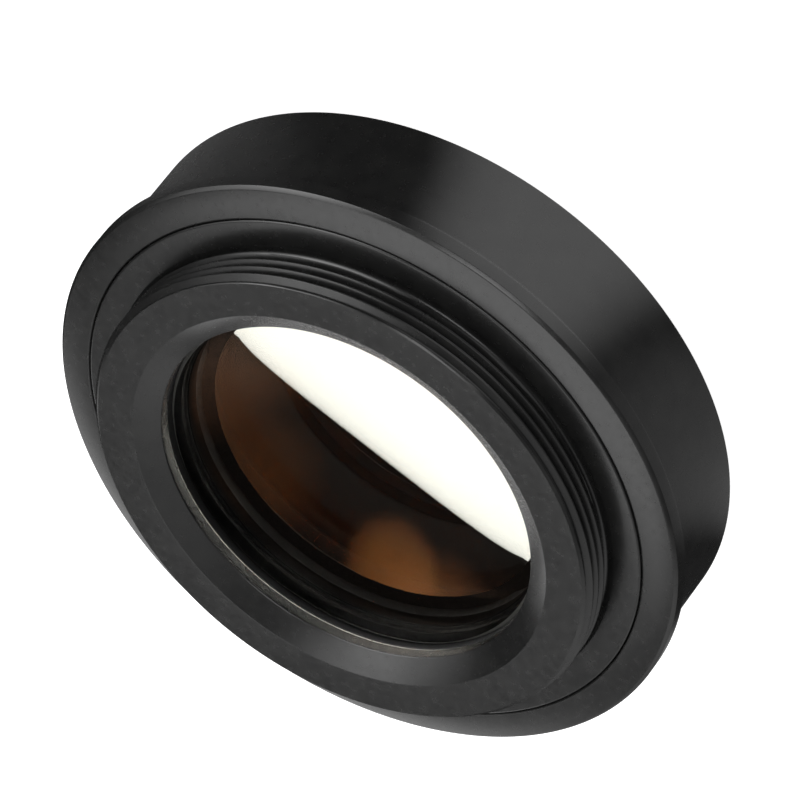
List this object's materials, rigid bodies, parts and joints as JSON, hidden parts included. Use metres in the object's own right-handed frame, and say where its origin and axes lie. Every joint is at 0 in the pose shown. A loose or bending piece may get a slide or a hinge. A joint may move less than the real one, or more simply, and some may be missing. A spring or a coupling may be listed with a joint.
{
  "type": "fisheye converter lens",
  "caption": "Round black screw-in converter lens: plain barrel with a rear lip, a threaded mount ring, a recessed rear glass and a gently domed front glass.",
  "frame": {"origin": "centre of the front rim's plane, on which the lens stands", "axes": "+Z along the optical axis towards the rear mount thread; the part is round about Z apart from its screws and spanner slots"},
  "size_m": [0.0462, 0.0462, 0.0131],
  "materials": {
    "black_anodised": "satin black anodised, fine turned grain",
    "inner_black": "matt black anodised",
    "coated_glass": "polished, amber coating",
    "black_rubber": "matt",
    "shim_steel": "rolled foil",
    "screw_steel": "black oxide"
  },
  "bodies": {
    "root": {"housing": "black_anodised", "mount_ring": "black_anodised", "rear_cell": "inner_black", "cell_shim": "shim_steel", "rear_crown_element": "coated_glass", "rear_flint_element": "coated_glass", "rear_spacer_ring": "inner_black", "light_baffle": "inner_black", "middle_element": "coated_glass", "rear_retaining_ring": "inner_black", "front_element": "coated_glass", "seat_gasket": "black_rubber", "front_o_ring": "black_rubber", "front_retaining_ring": "inner_black", "front_trim_ring": "black_anodised", "mount_screw_1": "screw_steel", "mount_screw_2": "screw_steel", "mount_screw_3": "screw_steel", "mount_screw_4": "screw_steel"}
  },
  "joints": []
}
